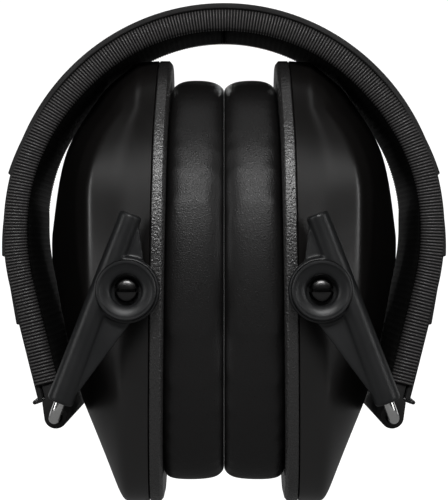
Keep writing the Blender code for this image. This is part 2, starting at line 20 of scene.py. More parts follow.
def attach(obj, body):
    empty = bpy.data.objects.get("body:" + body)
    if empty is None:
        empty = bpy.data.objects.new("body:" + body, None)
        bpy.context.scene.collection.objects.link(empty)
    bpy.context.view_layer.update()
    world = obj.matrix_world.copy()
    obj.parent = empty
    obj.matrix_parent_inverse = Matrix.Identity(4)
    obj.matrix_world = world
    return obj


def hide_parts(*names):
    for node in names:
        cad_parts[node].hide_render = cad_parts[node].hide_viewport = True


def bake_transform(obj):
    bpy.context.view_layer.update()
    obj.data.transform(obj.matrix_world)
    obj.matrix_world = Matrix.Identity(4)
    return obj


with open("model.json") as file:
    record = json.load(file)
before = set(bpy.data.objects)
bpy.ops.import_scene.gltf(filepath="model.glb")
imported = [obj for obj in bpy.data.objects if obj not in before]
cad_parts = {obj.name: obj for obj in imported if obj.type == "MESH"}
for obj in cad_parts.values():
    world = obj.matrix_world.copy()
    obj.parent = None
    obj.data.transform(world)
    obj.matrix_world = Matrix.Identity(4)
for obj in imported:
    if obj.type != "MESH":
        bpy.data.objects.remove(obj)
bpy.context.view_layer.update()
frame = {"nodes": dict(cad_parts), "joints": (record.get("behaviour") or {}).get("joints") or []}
MM = 0.001
SIDES = {"left": -1, "right": 1}
ENDS = {"front": -1, "rear": 1}
joints = {j["name"]: j for j in frame["joints"]}

# %% [markdown]
# ## Working by hand, in code
#
# Blender's operators act on whatever is selected, and the frame's parts arrive selected. So the
# first helpers clear the selection, open one piece for editing, and apply a modifier to it.

# %% Helpers for selecting, editing and finishing
def deselect_all():
    if bpy.context.mode != "OBJECT":
        bpy.ops.object.mode_set(mode="OBJECT")
    bpy.ops.object.select_all(action="DESELECT")


def make_active(piece):
    deselect_all()
    piece.select_set(True)
    bpy.context.view_layer.objects.active = piece


@contextmanager
def editing(piece):
    """Edit mode on one piece, with everything in it selected."""
    make_active(piece)
    bpy.ops.object.mode_set(mode="EDIT")
    bpy.ops.mesh.select_all(action="SELECT")
    yield bmesh.from_edit_mesh(piece.data)
    bmesh.update_edit_mesh(piece.data)
    bpy.ops.object.mode_set(mode="OBJECT")


def named(name):
    """Name the object that an operator has just added, and bake its place into its mesh."""
    piece = bpy.context.object
    piece.name = piece.data.name = name
    bpy.ops.object.transform_apply(location=True, rotation=True, scale=True)
    return piece


def modify(piece, kind, **settings):
    """Add one modifier, set it and apply it."""
    make_active(piece)
    modifier = piece.modifiers.new(kind.lower(), kind)
    for key, value in settings.items():
        setattr(modifier, key, value)
    bpy.ops.object.modifier_apply(modifier=modifier.name)
    return piece


def combine(piece, tool, operation):
    """One Boolean with another piece, which is then removed."""
    modify(piece, "BOOLEAN", operation=operation, object=tool, solver="EXACT")
    bpy.data.objects.remove(tool, do_unlink=True)
    return piece


def face_outwards(piece):
    with editing(piece):
        bpy.ops.mesh.remove_doubles(threshold=1e-6)
        bpy.ops.mesh.normals_make_consistent(inside=False)
    return piece


def shade(piece, angle=30):
    make_active(piece)
    bpy.ops.object.shade_smooth_by_angle(angle=math.radians(angle))
    return piece


def reflected(piece, name, flip_x, flip_y):
    """A copy with its own mesh and none of the frame marks, mirrored in x = 0 and y = 0."""
    make_active(piece)
    bpy.ops.object.duplicate()
    copy = bpy.context.object
    for mark in list(copy.keys()):
        del copy[mark]
    copy.scale = (flip_x, flip_y, 1)
    named(name)
    if flip_x * flip_y < 0:
        with editing(copy):
            bpy.ops.mesh.normals_make_consistent(inside=False)
    return copy


def finish(piece, material, slot, *nodes):
    """Give a piece its material and hide the frame solids it stands for; the slot argument is not used."""
    piece.data.materials.clear()
    piece.data.materials.append(material)
    if nodes:
        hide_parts(*nodes)
    return piece


print("helpers ready")

# %% [markdown]
# ## Skins and outlines
#
# Many pieces of a muff are a row of matching rings: a cup is a stack of shield-shaped rings, a
# headband strip is a row of small cross-sections. A flat grid is the easiest start: one row of
# the grid becomes one ring, the two long edges meet, and the ends are filled. Flat plates start
# as a circle whose points are moved to the outline, and are then extruded.

# %% Helpers that make a body from rings, from an outline, or by turning a profile
def skinned(name, rings, ends="capped"):
    """A body from equal rings: capped at both ends, joined into a loop, or cupped (first open)."""
    rows, count = len(rings), len(rings[0])
    deselect_all()
    bpy.ops.mesh.primitive_grid_add(x_subdivisions=count, y_subdivisions=rows - 1, size=1)
    piece = bpy.context.object
    piece.name = piece.data.name = name
    places = [p for ring in rings for p in (*ring, ring[0])]
    piece.data.vertices.foreach_set("co", np.array(places, np.float32).ravel())
    ring_number = np.repeat(np.arange(rows, dtype=np.float32), count + 1)
    piece.data.attributes.new("ring", "FLOAT", "POINT").data.foreach_set("value", ring_number)
    with editing(piece):
        bpy.ops.mesh.remove_doubles(threshold=1e-6)
        mesh = bmesh.from_edit_mesh(piece.data)
        keep_open = Vector(rings[0][0]) if ends == "cupped" else None
        first = [Vector(p) for p in rings[0]]
        bpy.ops.mesh.select_mode(type="EDGE")
        bpy.ops.mesh.select_all(action="DESELECT")
        for edge in mesh.edges:
            open_end = keep_open and all(min((v.co - p).length for p in first) < 1e-6 for v in edge.verts)
            edge.select = edge.is_boundary and not open_end
        if ends == "joined":
            bpy.ops.mesh.bridge_edge_loops()
        else:
            bpy.ops.mesh.edge_face_add()
        bpy.ops.mesh.select_mode(type="VERT")
        bpy.ops.mesh.select_all(action="SELECT")
        bpy.ops.mesh.normals_make_consistent(inside=False)
    return piece


def plate(name, outline, y0, y1):
    """A flat plate: an (x, z) outline extruded along Y."""
    deselect_all()
    bpy.ops.mesh.primitive_circle_add(vertices=len(outline), radius=MM, fill_type="NGON")
    piece = bpy.context.object
    piece.name = piece.data.name = name
    for vertex, (x, z) in zip(piece.data.vertices, outline):
        vertex.co = (x, y0, z)
    with editing(piece):
        bpy.ops.mesh.extrude_region_move(TRANSFORM_OT_translate={"value": (0, y1 - y0, 0)})
        bpy.ops.mesh.select_all(action="SELECT")
        bpy.ops.mesh.normals_make_consistent(inside=False)
    return piece


def turned(name, profile, centre, steps=64):
    """Spin a closed (radius, y) profile round the Y axis through centre (x, z)."""
    deselect_all()
    bpy.ops.mesh.primitive_circle_add(vertices=len(profile), radius=MM)
    piece = bpy.context.object
    piece.name = piece.data.name = name
    for vertex, (radius, y) in zip(piece.data.vertices, profile):
        vertex.co = (centre[0] + radius, y, centre[1])
    with editing(piece):
        bpy.ops.mesh.spin(steps=steps, angle=2 * math.pi, center=(centre[0], 0, centre[1]),
                          axis=(0, 1, 0))
        bpy.ops.mesh.select_all(action="SELECT")
        bpy.ops.mesh.remove_doubles(threshold=1e-6)
        bpy.ops.mesh.normals_make_consistent(inside=False)
    return piece


def rod(name, radius, centre, y0, y1, vertices=48):
    """A plain cylinder along Y."""
    deselect_all()
    bpy.ops.mesh.primitive_cylinder_add(
        vertices=vertices, radius=radius, depth=y1 - y0,
        location=(centre[0], (y0 + y1) / 2, centre[1]), rotation=(math.pi / 2, 0, 0))
    return named(name)


print("body makers ready")

# %% [markdown]
# ## The camera
#
# The viewer looks level at the front of the muff from half a metre, with a long lens. The aim is
# the middle of the folded muff's height.

# %% Camera
VIEW_DISTANCE = 0.500
VIEW_HEIGHT = 0.0652
VIEW_LENS = 136.4
camera_data = bpy.data.cameras.new("view")
camera_data.lens = VIEW_LENS
camera_data.sensor_width = 36.0
camera_data.clip_start = 0.01
camera = bpy.data.objects.new("view", camera_data)
camera.location = (0, -VIEW_DISTANCE, VIEW_HEIGHT)
camera.rotation_euler = (math.pi / 2, 0, 0)
bpy.context.scene.collection.objects.link(camera)
bpy.context.scene.camera = camera
print("camera at", tuple(round(v, 3) for v in camera.location))

# %% [markdown]
# ## Stage and light
#
# Black plastic is nearly all reflection: what is seen on it is the light around it. A pale
# floor that curves up into a backdrop keeps the surroundings white. Three soft boxes high in
# front draw the broad highlights on seals and shells, one overhead draws the crown, and strips
# and panels at the sides and behind trace the edges.

# %% Floor, backdrop and soft boxes
def brighter_to_the_eye(tree, strength, seen, felt):
    """White to the camera, and far dimmer as a light on the object."""
    path = tree.nodes.new("ShaderNodeLightPath")
    level = tree.nodes.new("ShaderNodeMapRange")
    level.inputs["To Min"].default_value = felt
    level.inputs["To Max"].default_value = seen
    tree.links.new(path.outputs["Is Camera Ray"], level.inputs["Value"])
    tree.links.new(level.outputs["Result"], strength)


def stage_material():
    material = bpy.data.materials.new("pale_backdrop")
    material.use_nodes = True
    shader = material.node_tree.nodes["Principled BSDF"]
    shader.inputs["Base Color"].default_value = (0.25, 0.25, 0.25, 1)
    shader.inputs["Roughness"].default_value = 0.9
    shader.inputs["Specular IOR Level"].default_value = 0.1
    shader.inputs["Emission Color"].default_value = (1, 1, 1, 1)
    brighter_to_the_eye(material.node_tree, shader.inputs["Emission Strength"], 1.0, 0.0)
    return material


FLOOR_DROP = 0.08  # opening the muff swings its cups 42 mm below where they rest folded


def build_stage():
    """Floor, back wall and the rounded corner between them, as one swept plane."""
    half, back, rise, corner = 2.5, 1.6, 3.0, 0.5
    profile = [(-2.0, 0.0), (back - corner, 0.0)]
    for step in range(1, 12):
        a = math.pi / 2 * step / 12
        profile.append((back - corner + corner * math.sin(a), corner * (1 - math.cos(a))))
    profile += [(back, corner), (back, rise)]
    deselect_all()
    bpy.ops.mesh.primitive_grid_add(x_subdivisions=1, y_subdivisions=len(profile) - 1, size=1)
    floor = bpy.context.object
    floor.name = floor.data.name = "pale_floor"
    places = [(x, y, z - FLOOR_DROP) for y, z in profile for x in (-half, half)]
    floor.data.vertices.foreach_set("co", np.array(places, np.float32).ravel())
    floor.data.materials.append(stage_material())
    shade(floor, 40)


def soft_box(name, place, aim, size, power):
    data = bpy.data.lights.new(name, "AREA")
    data.shape = "RECTANGLE"
    data.size, data.size_y = size
    data.energy = power
    lamp = bpy.data.objects.new(name, data)
    lamp.location = place
    lamp.rotation_euler = (Vector(aim) - Vector(place)).to_track_quat("-Z", "Y").to_euler()
    bpy.context.scene.collection.objects.link(lamp)
    return lamp


build_stage()
MIDDLE = (0, 0, 0.06)
soft_box("front_box", (0, -1.05, 0.72), MIDDLE, (0.50, 0.26), 7.0)
soft_box("overhead_box", (0, -0.1, 1.3), MIDDLE, (1.0, 0.8), 1.3)
for name, x in SIDES.items():
    soft_box(f"{name}_strip", (1.1 * x, -0.55, 0.25), MIDDLE, (0.25, 0.9), 2.4)
    soft_box(f"{name}_front_box", (0.68 * x, -0.81, 0.72), MIDDLE, (0.40, 0.26), 0.35)
    soft_box(f"{name}_side_panel", (0.95 * x, 0.98, 0.30), MIDDLE, (0.9, 1.2), 1.9)
    soft_box(f"{name}_back_box", (0.45 * x, 1.25, 0.85), MIDDLE, (0.5, 0.5), 4.5)
world = bpy.data.worlds.new("studio")
bpy.context.scene.world = world
world.use_nodes = True
background = world.node_tree.nodes["Background"]
background.inputs["Color"].default_value = (1, 1, 1, 1)
brighter_to_the_eye(world.node_tree, background.inputs["Strength"], 1.0, 0.02)
bpy.context.scene.view_settings.view_transform = "Standard"

# %% [markdown]
# ## Effects that several finishes share
#
# Four small networks do the fine work. Spark grain is the coarse crackle that an eroded mould
# leaves on a plastic edge. Fine tooth is the faint unevenness of every moulded or coated skin.
# Handling is the slight change of gloss where fingers have been. Lint is the pale dust that
# settles on upward faces of anything black.

# %% Node groups: spark grain, fine tooth, handling, lint
class Network:
    """Adds nodes to a tree and joins them in one line each."""

    def __init__(self, tree):
        self.tree = tree

    def add(self, kind, settings=None, **inputs):
        node = self.tree.nodes.new(kind)
        for key, value in (settings or {}).items():
            setattr(node, key, value)
        for key, value in inputs.items():
            socket = node.inputs[int(key[1:])] if key[1:].isdigit() else node.inputs[key.replace("_", " ")]
            if isinstance(value, bpy.types.NodeSocket):
                self.tree.links.new(value, socket)
            else:
                socket.default_value = value
        return node

    def math(self, operation, a, b=0.0):
        return self.add("ShaderNodeMath", {"operation": operation}, i0=a, i1=b).outputs[0]

    def ramp(self, value, low, high, out_low=0.0, out_high=1.0):
        return self.add("ShaderNodeMapRange", None, Value=value, From_Min=low, From_Max=high,
                        To_Min=out_low, To_Max=out_high).outputs["Result"]


def new_group(name, outputs, scale):
    """An empty group that reads the piece's own coordinates and has one input, Scale."""
    tree = bpy.data.node_groups.new(name, "ShaderNodeTree")
    size = tree.interface.new_socket("Scale", in_out="INPUT", socket_type="NodeSocketFloat")
    size.default_value = scale
    for output in outputs:
        tree.interface.new_socket(output, in_out="OUTPUT", socket_type="NodeSocketFloat")
    net = Network(tree)
    start, end = net.add("NodeGroupInput"), net.add("NodeGroupOutput")
    place = net.add("ShaderNodeTexCoord").outputs["Object"]
    return net, start.outputs["Scale"], end, place


def spark_grain():
    net, scale, end, place = new_group("spark_grain", ["Height", "Peaks"], 1500)
    cells = net.add("ShaderNodeTexVoronoi", {"feature": "SMOOTH_F1"}, Vector=place, Scale=scale,
                    Smoothness=0.6).outputs["Distance"]
    crumbs = net.add("ShaderNodeTexNoise", None, Vector=place, Detail=3.0,
                     Scale=net.math("MULTIPLY", scale, 1.7)).outputs["Fac"]
    height = net.math("ADD", net.math("MULTIPLY", cells, -0.8), crumbs)
    net.tree.links.new(height, end.inputs["Height"])
    net.tree.links.new(net.ramp(crumbs, 0.52, 0.72), end.inputs["Peaks"])
    return net.tree


def fine_tooth():
    net, scale, end, place = new_group("fine_tooth", ["Height", "Specks"], 3000)
    noise = net.add("ShaderNodeTexNoise", None, Vector=place, Scale=scale, Detail=2.0).outputs["Fac"]
    net.tree.links.new(noise, end.inputs["Height"])
    net.tree.links.new(net.ramp(noise, 0.60, 0.75), end.inputs["Specks"])
    return net.tree


def handling():
    net, scale, end, place = new_group("handling", ["Mask"], 60)
    noise = net.add("ShaderNodeTexNoise", None, Vector=place, Scale=scale, Detail=4.0,
                    Roughness=0.6, Distortion=0.6).outputs["Fac"]
    net.tree.links.new(net.ramp(noise, 0.38, 0.66), end.inputs["Mask"])
    return net.tree


def lint():
    net, scale, end, place = new_group("lint", ["Mask"], 1400)
    facing = net.add("ShaderNodeSeparateXYZ", None,
                     Vector=net.add("ShaderNodeTexCoord").outputs["Normal"]).outputs["Z"]
    specks = net.add("ShaderNodeTexNoise", None, Vector=place, Scale=scale, Detail=1.0).outputs["Fac"]
    patches = net.add("ShaderNodeTexNoise", None, Vector=place, Scale=90.0, Detail=2.0).outputs["Fac"]
    mask = net.math("MULTIPLY", net.ramp(specks, 0.74, 0.80), net.ramp(patches, 0.5, 0.7))
    mask = net.math("MULTIPLY", mask, net.ramp(facing, -0.2, 0.9, 0.15, 1.0))
    net.tree.links.new(mask, end.inputs["Mask"])
    return net.tree


GROUPS = {group.name: group for group in (spark_grain(), fine_tooth(), handling(), lint())}
print("shared effects:", sorted(GROUPS))

# %% [markdown]
# ## The finishes
#
# The muff is black all over, so the finishes differ in gloss and in fine relief, hardly in
# colour. The shells have a rubbery coating with a broad, dull sheen. The rim plates are bare
# plastic with a coarse grain that glitters. Sliders and caps are a smoother moulding. The seals
# are a thin soft film, the ribbon is ribbed polyester, and the wires are steel.

# %% Material helpers
def new_material(name, colour, roughness, metallic=0.0, specular=0.5, coat=0.0, coat_rough=0.1):
    material = bpy.data.materials.new(name)
    material.use_nodes = True
    shader = material.node_tree.nodes["Principled BSDF"]
    shader.inputs["Base Color"].default_value = (*colour, 1)
    shader.inputs["Roughness"].default_value = roughness
    shader.inputs["Metallic"].default_value = metallic
    shader.inputs["Specular IOR Level"].default_value = specular
    shader.inputs["Coat Weight"].default_value = coat
    shader.inputs["Coat Roughness"].default_value = coat_rough
    return material, shader, Network(material.node_tree)


def effect(net, name, scale):
    return net.add("ShaderNodeGroup", {"node_tree": GROUPS[name]}, Scale=scale).outputs


def relief(net, shader, height, strength, depth):
    """Bump from a height between 0 and 1 that stands for depth metres."""
    bump = net.add("ShaderNodeBump", None, Strength=strength, Distance=depth, Height=height)
    net.tree.links.new(bump.outputs["Normal"], shader.inputs["Normal"])


def dusted(net, shader, colour, amount=0.5):
    """Lint over the base colour."""
    mask = net.math("MULTIPLY", effect(net, "lint", 1400)["Mask"], amount)
    mix = net.add("ShaderNodeMix", {"data_type": "RGBA"}, Factor=mask)
    mix.inputs["A"].default_value = (*colour, 1)
    mix.inputs["B"].default_value = (0.30, 0.29, 0.27, 1)
    net.tree.links.new(mix.outputs["Result"], shader.inputs["Base Color"])


def gloss_between(net, shader, low, high):
    """Roughness that wanders between two values, as handled plastic does."""
    mask = effect(net, "handling", 60)["Mask"]
    net.tree.links.new(net.ramp(mask, 0, 1, low, high), shader.inputs["Roughness"])


def plastic(name, colour, low, high, tooth, depth, specular=0.5, dust=0.3):
    material, shader, net = new_material(name, colour, low, specular=specular)
    gloss_between(net, shader, low, high)
    relief(net, shader, effect(net, "fine_tooth", tooth)["Height"], 0.5, depth)
    dusted(net, shader, colour, dust)
    return material


print("material helpers ready")

# %% Plastics, seal film, ribbon, net, foam and steels
PAD_STEP = 2.5 * MM                   # distance between the rings of the pad


def grained_plastic():
    colour = (0.026, 0.025, 0.025)
    material, shader, net = new_material("grained_plastic", colour, 0.26, specular=1.0)
    grain = effect(net, "spark_grain", 1500)
    relief(net, shader, grain["Height"], 0.9, 0.00014)
    net.tree.links.new(net.ramp(grain["Peaks"], 0, 1, 0.34, 0.16), shader.inputs["Roughness"])
    dusted(net, shader, colour, 0.5)
    return material


def leatherette():
    colour = (0.0100, 0.0095, 0.0095)
    material, shader, net = new_material("leatherette", colour, 0.38, specular=0.42)
    tooth = effect(net, "fine_tooth", 2900)
    relief(net, shader, tooth["Height"], 0.9, 0.00011)
    net.tree.links.new(net.ramp(tooth["Specks"], 0, 1, 0.40, 0.16), shader.inputs["Roughness"])
    dusted(net, shader, colour, 0.35)
    return material


def ribbon():
    """Painted highlight on the ribs and painted shade between them: the base colour is bright on the
    crests and nearly black in the grooves; four rings of the strip make one rib.
    """
    material, shader, net = new_material("ribbon", (0.03, 0.03, 0.03), 0.32, specular=0.4)
    ring = net.add("ShaderNodeAttribute", {"attribute_name": "ring"}).outputs["Fac"]
    wave = net.math("COSINE", net.math("MULTIPLY", ring, math.pi / 2))
    crest_gloss_and_painted_light = net.ramp(wave, 0.3, -0.8)
    tooth = effect(net, "fine_tooth", 3600)
    # painted highlight on the rib crests and painted shade in the grooves, mixed into the base colour; the
    # same mask also sets the roughness
    mix = net.add("ShaderNodeMix", {"data_type": "RGBA"}, Factor=crest_gloss_and_painted_light)
    mix.inputs["A"].default_value = (0.0015, 0.0015, 0.0015, 1)
    mix.inputs["B"].default_value = (0.078, 0.074, 0.074, 1)
    net.tree.links.new(mix.outputs["Result"], shader.inputs["Base Color"])
    net.tree.links.new(net.ramp(crest_gloss_and_painted_light, 0, 1, 0.9, 0.28), shader.inputs["Roughness"])
    relief(net, shader, tooth["Height"], 0.7, 0.00015)
    return material


def mesh_fabric():
    """Open spacer knit: round holes in rows, laid out along the strip and across it, with painted shade
    darkening the holes.
    """
    material, shader, net = new_material("mesh_fabric", (0.004, 0.004, 0.004), 0.85, specular=0.12)
    ring = net.add("ShaderNodeAttribute", {"attribute_name": "ring"}).outputs["Fac"]
    place = net.add("ShaderNodeSeparateXYZ", None,
                    Vector=net.add("ShaderNodeTexCoord").outputs["Object"])
    flat = net.add("ShaderNodeCombineXYZ", None, X=net.math("MULTIPLY", ring, PAD_STEP),
                   Y=place.outputs["Y"])
    holes = net.add("ShaderNodeTexVoronoi", {"feature": "F1", "voronoi_dimensions": "2D"},
                    Vector=flat.outputs["Vector"], Scale=620.0, Randomness=0.0).outputs["Distance"]
    rim = net.ramp(holes, 0.26, 0.42)
    relief(net, shader, rim, 0.8, 0.0003)
    # painted shade: the base colour is darker inside the holes than on the knit round them
    mix = net.add("ShaderNodeMix", {"data_type": "RGBA"}, Factor=rim)
    mix.inputs["A"].default_value = (0.0008, 0.0008, 0.0008, 1)
    mix.inputs["B"].default_value = (0.0055, 0.0055, 0.0052, 1)
    net.tree.links.new(mix.outputs["Result"], shader.inputs["Base Color"])
    return material


def foam():
    material, shader, net = new_material("foam", (0.030, 0.030, 0.032), 0.95, specular=0.1)
    relief(net, shader, effect(net, "spark_grain", 900)["Height"], 1.0, 0.0006)
    return material


def steel(name, colour, low, high, coat=0.0):
    material, shader, net = new_material(name, colour, low, metallic=1.0, coat=coat)
    gloss_between(net, shader, low, high)
    relief(net, shader, effect(net, "fine_tooth", 2500)["Height"], 0.25, 0.00002)
    return material


SOFT_TOUCH = plastic("soft_touch_plastic", (0.0074, 0.0066, 0.0063), 0.31, 0.35, 2600, 0.00003, 0.85)
GRAINED = grained_plastic()
SATIN = plastic("satin_plastic", (0.0115, 0.0120, 0.0128), 0.36, 0.48, 1500, 0.00005)
COVER = plastic("cover_plastic", (0.0095, 0.0091, 0.0091), 0.58, 0.68, 2200, 0.00006, 0.3)
LEATHERETTE = leatherette()
RIBBON = ribbon()
NET = mesh_fabric()
FOAM = foam()
BRIGHT_WIRE = steel("bright_wire", (0.90, 0.90, 0.89), 0.14, 0.24)
SPRING_STEEL = steel("spring_steel", (0.30, 0.30, 0.31), 0.30, 0.42)
BLACK_STEEL = steel("black_steel", (0.070, 0.069, 0.069), 0.20, 0.28)
print("finishes:", sorted(m.name for m in bpy.data.materials))

# %% [markdown]
# ## Outline of a cup
#
# Seen along the ear axis every cup piece has the same shield outline: an arch above a taper to a
# flat foot. One function draws it at any size, another one draws the ovals of the ear opening
# with the same number of points, so that the two can be skinned together.

# %% Rings of the cup pieces
CUP_HALF_WIDTH = 38.2 * MM
CUP_HEIGHT = 114.8 * MM
WIDEST = 62.0 / 114.8
FOOT_HALF_WIDTH = 8.0 * MM
EAR_CENTRE_Z = 57.5 * MM


def shield_ring(x, half, low, high, foot=None, count=96):
    """Points round the outline; x is a number or a function of height."""
    foot = FOOT_HALF_WIDTH * half / CUP_HALF_WIDTH if foot is None else foot
    waist = low + (high - low) * WIDEST
    points = []
    for i in range(count // 2):
        a = 2 * math.pi * i / count
        c, s = math.cos(a), math.sin(a)
        bulge = (abs(c) ** 2.25 + abs(s) ** 2.25) ** (-1 / 2.25)
        points.append((half * c * bulge, waist + (high - waist) * s * bulge))
    quarter = count // 4
    turns = [(-1, i / (quarter - 1)) for i in range(quarter)]
    turns += [(1, i / quarter) for i in range(quarter, 0, -1)]
    for sign, turn in turns:
        a = math.pi / 2 * turn
        points.append((sign * (foot + (half - foot) * math.cos(a)),
                       waist - (waist - low) * math.sin(a)))
    place = x if callable(x) else (lambda z: x)
    return [(place(z), y, z) for y, z in points]


def lean(z):
    """How much farther out the mating face stands at height z: the muff leans in at the top."""
    return float(np.interp(z / MM, (0, 30, 60, 93, 105, 115), (1.4, 0.9, 0.5, -0.1, -0.6, -0.9))) * MM


def leaned(rings):
    """Rings of a left cup piece, with the lean added."""
    return [[(x - lean(z), y, z) for x, y, z in ring] for ring in rings]


def oval_ring(x, radii, count=96):
    angles = [2 * math.pi * i / count for i in range(count)]
    return [(x, radii[0] * math.cos(a), EAR_CENTRE_Z + radii[1] * math.sin(a)) for a in angles]


print("shield ring of", len(shield_ring(0, CUP_HALF_WIDTH, 0, CUP_HEIGHT)), "points")

# %% [markdown]
# ## The cup shells
#
# A shell is an injection moulding with generous draft: a side wall leans in from the rim to a
# soft crease, and beyond it a broad facet closes the end. Below, a long taper runs from the foot
# out to the facet. It is skinned from rings that follow those three regions. Averaging
# neighbouring rings rounds the creases, as a moulder would. A boss stands on each side for the
# pivot screw, and the wall is hollow.

# %% Cup shell
def along(stops, f):
    """Value at f on a line through (f, value) stops."""
    return float(np.interp(f, [s[0] for s in stops], [s[1] for s in stops]))


SHELL_TOP = ((0, 114.8), (0.6, 114.5), (1, 111.8), (1.25, 108), (1.5, 101.5), (1.75, 90.5),
             (1.9, 79.5), (2, 70.5))
SHELL_FOOT = ((0, 0), (0.42, 0), (0.5, 1.7), (0.75, 11.2), (1, 20.5), (1.25, 26.5), (1.5, 36),
              (1.75, 48), (1.9, 56.5), (2, 61.5))
SHELL_HALF = ((0, 38.2), (1, 31.8), (2, 4.5))
SHELL_FACE, SHELL_END = 17.9, 45.0


def shell_depth(f):
    """Distance from the middle plane, at each height, for ring f: wall to 1, facet to 2."""
    def x(z):
        crease = max(26.0, 34.2 - 0.016 * max(0.0, z / MM - 78) ** 2)
        if f <= 1:
            face = SHELL_FACE + lean(z) / MM
            return -(face + (crease - face) * f) * MM
        return -(crease + (SHELL_END - crease) * (f - 1)) * MM
    return x


def soften_rings(rings, passes):
    """Average each ring with its neighbours; the first and the last stay."""
    for _ in range(passes):
        inside = (rings[:-2] + 2 * rings[1:-1] + rings[2:]) / 4
        rings = np.concatenate([rings[:1], inside, rings[-1:]])
    return rings


def shell_rings():
    rings = []
    for f in np.linspace(0, 2, 73):
        low, high, half = (along(stops, f) * MM for stops in (SHELL_FOOT, SHELL_TOP, SHELL_HALF))
        rings.append(shield_ring(shell_depth(f), half, low, high))
    return soften_rings(np.array(rings), 7)


PIVOT = (-23.5 * MM, 55.5 * MM)
shell = skinned("left_shell", [[tuple(p) for p in ring] for ring in shell_rings()], "cupped")
modify(shell, "SOLIDIFY", thickness=2.2 * MM, offset=-1, use_even_offset=False)
face_outwards(shell)
for sign in ENDS.values():
    y0, y1 = sorted((sign * 33 * MM, sign * 38.0 * MM))
    combine(shell, rod("boss", 6.5 * MM, PIVOT, y0, y1), "UNION")
shade(shell, 35)
finish(shell, SOFT_TOUCH, "soft_touch_plastic", "left_cup_shell")
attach(shell, "left_cup")
print("left shell:", len(shell.data.polygons), "faces")

# %% [markdown]
# The right shell comes from the same tool: it is the left one reflected.

# %% Right shell
def give(piece, material, slot, body, *nodes):
    finish(piece, material, slot, *nodes)
    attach(piece, body)
    return piece


give(reflected(shell, "right_shell", -1, 1), SOFT_TOUCH, "soft_touch_plastic", "right_cup",
     "right_cup_shell")
print("right shell copied")

# %% [markdown]
# ## The rim plates
#
# Each shell is closed by a plate whose edge stays bare. Towards the cushion the edge has a
# chamfer that catches a thin bright line. The plate is a loop of rings: chamfer, edge, back,
# and the wall of the speaker opening.

# %% Rim plates
def rim_rings():
    def outline(x, inset):
        return shield_ring(-x * MM, CUP_HALF_WIDTH - inset * MM, inset * MM,
                           CUP_HEIGHT - inset * MM, FOOT_HALF_WIDTH - inset * MM * 0.3)
    rings = [outline(14.2, 3.0), outline(14.2, 1.15), outline(14.26, 0.95), outline(14.95, 0.1),
             outline(15.1, 0.0), outline(17.3, 0.0), outline(17.5, 0.12), outline(17.6, 0.4),
             outline(17.6, 3.0), oval_ring(-16.6 * MM, (27 * MM, 41 * MM)),
             oval_ring(-14.2 * MM, (27 * MM, 41 * MM))]
    return leaned(rings)


rim = shade(skinned("left_rim", rim_rings(), "joined"), 30)
give(rim, GRAINED, "grained_plastic", "left_cup", "left_cup_rim")
give(reflected(rim, "right_rim", -1, 1), GRAINED, "grained_plastic", "right_cup", "right_cup_rim")
print("rims:", len(rim.data.polygons), "faces each")

# %% [markdown]
# ## The ear seals
#
# A seal is a welded film sleeve over a foam ring. Only a swollen skin has that look, so the ring
# is skinned from sections and then blown up a little as cloth, glued along its back to the snap
# plate. The film can't cross the middle plane, where the other seal presses against it.

# %% Ear seals
def seal_ring(x, inset):
    return shield_ring(-x * MM, (36.3 - inset) * MM, (6.2 + inset) * MM, (109.8 - inset) * MM,
                       14.0 * MM)


def seal_rings():
    rings = [seal_ring(14.6, 1.2), seal_ring(14.2, 0.4), seal_ring(13.2, 0.0)]
    for degrees in range(0, 91, 15):
        a = math.radians(degrees)
        rings.append(seal_ring(4.6 - 4.4 * math.sin(a), 4.4 * (1 - math.cos(a))))
    for grow, x in ((7.5, 0.2), (3.0, 1.0), (1.0, 3.0), (0.0, 6.0), (0.0, 14.6)):
        rings.append(oval_ring(-x * MM, ((19 + grow) * MM, (32 + grow) * MM)))
    return rings


def inflate(piece, glued, pressure, frames=20):
    """Blow a closed skin up as cloth; glued points stay where they are."""
    group = piece.vertex_groups.new(name="glued")
    group.add([v.index for v in piece.data.vertices if glued(v.co)], 1.0, "REPLACE")
    cloth = piece.modifiers.new("film", "CLOTH")
    cloth.settings.quality = 6
    cloth.settings.tension_stiffness = cloth.settings.compression_stiffness = 18
    cloth.settings.bending_stiffness = 1.5
    cloth.settings.use_pressure = True
    cloth.settings.uniform_pressure_force = pressure
    cloth.settings.vertex_group_mass = "glued"
    cloth.settings.effector_weights.gravity = 0
    cloth.point_cache.frame_start, cloth.point_cache.frame_end = 1, frames
    for number in range(1, frames + 1):
        bpy.context.scene.frame_set(number)
    make_active(piece)
    bpy.ops.object.modifier_apply(modifier=cloth.name)
    bpy.context.scene.frame_set(1)


def capped_move(piece, rest, limit):
    """Keep every point within limit metres of its nearest place on the ring before inflation."""
    moves = np.array([v.co[:] for v in piece.data.vertices]) - rest
    length = np.linalg.norm(moves, axis=1, keepdims=True)
    moves *= np.minimum(1, limit / np.maximum(length, 1e-9))
    piece.data.vertices.foreach_set("co", (rest + moves).astype(np.float32).ravel())


def points_of(piece):
    return np.array([v.co[:] for v in piece.data.vertices])


def pressed(places):
    """Lean the back with the rim, fill the width again, and flatten the front on the other seal."""
    back = np.clip(-places[:, 0] / (13 * MM), 0, 1)
    places[:, 0] += (1 - back) * 1.4 * MM - back * [lean(z) for z in places[:, 2]]
    places[:, 0] = np.minimum(places[:, 0], -0.005 * MM)
    return places


def build_seal():
    seal = skinned("left_seal", seal_rings(), "joined")
    modify(seal, "REMESH", mode="VOXEL", voxel_size=2.5 * MM)
    rest = points_of(seal)
    inflate(seal, lambda p: p.x < -12.4 * MM, 4.0)
    capped_move(seal, rest, 0.5 * MM)
    modify(seal, "SMOOTH", factor=0.5, iterations=2)
    modify(seal, "SUBSURF", levels=1)
    seal.data.vertices.foreach_set("co", pressed(points_of(seal)).astype(np.float32).ravel())
    modify(seal, "SUBSURF", levels=1)
    return shade(seal, 60)


